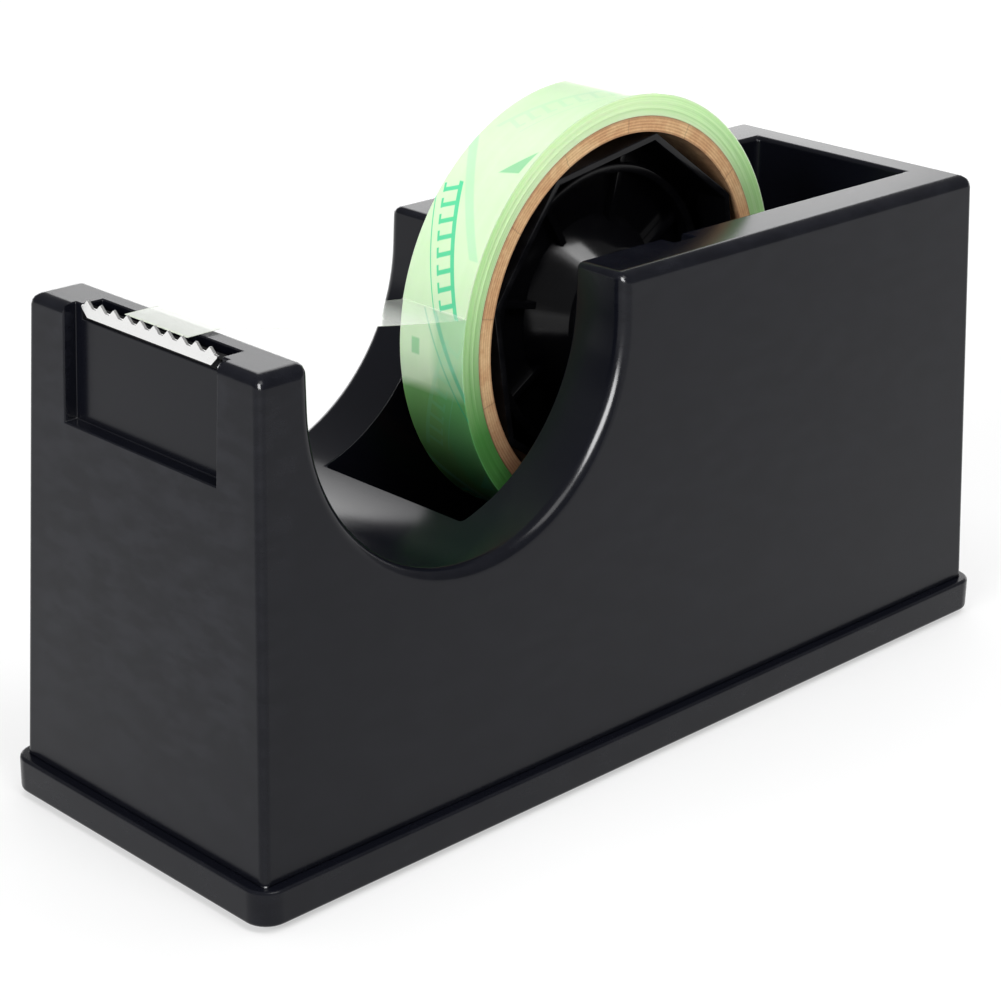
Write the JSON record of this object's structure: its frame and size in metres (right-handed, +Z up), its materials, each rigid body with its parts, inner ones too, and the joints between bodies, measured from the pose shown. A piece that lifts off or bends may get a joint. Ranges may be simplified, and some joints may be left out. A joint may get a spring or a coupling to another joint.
{
  "type": "tape dispenser",
  "caption": "Weighted desktop tape dispenser with a U-shaped finger cut-out, serrated cutter and a lift-out roll of clear tape on a free-turning hub.",
  "frame": {"origin": "on the desk, at the centre of the base plate's footprint", "axes": "+Z up, -X towards the cutter, +Y towards the side that is away from the viewer, along the roll's axis"},
  "size_m": [0.2134, 0.0778, 0.1296],
  "materials": {
    "housing": "satin",
    "base": "satin",
    "ballast": "matte",
    "foam": "matte",
    "screw": "satin",
    "foot": "matte",
    "holder": "satin",
    "blade": "polished",
    "axle": "satin",
    "hub": "satin",
    "core": "matte",
    "tape_roll": "gloss",
    "tape_film": "gloss"
  },
  "bodies": {
    "housing": {"housing_shell": "housing", "base_plate": "base", "ballast_front": "ballast", "ballast_rear": "ballast", "ballast_pad_front": "foam", "ballast_pad_rear": "foam", "base_screws": "screw", "foot_front_near": "foot", "foot_front_far": "foot", "foot_rear_near": "foot", "foot_rear_far": "foot", "blade_holder": "holder", "cutter_blade": "blade"},
    "axle": {"axle_rod": "axle", "spacer_near": "hub", "spacer_far": "hub", "tape_tail": "tape_film"},
    "hub": {"hub_wheel": "hub", "hub_drum": "hub", "hub_retainer": "hub", "cardboard_core": "core", "tape_roll": "tape_roll"}
  },
  "joints": [
    {"name": "roll_lift", "type": "slide", "parent": "housing", "child": "axle", "axis": [0, 0, 1], "range_m": [0, 0.08]},
    {"name": "hub_spin", "type": "hinge", "parent": "axle", "child": "hub", "pos_m": [0.0158, 0, 0.0837], "axis": [0, 1, 0], "continuous": true}
  ]
}
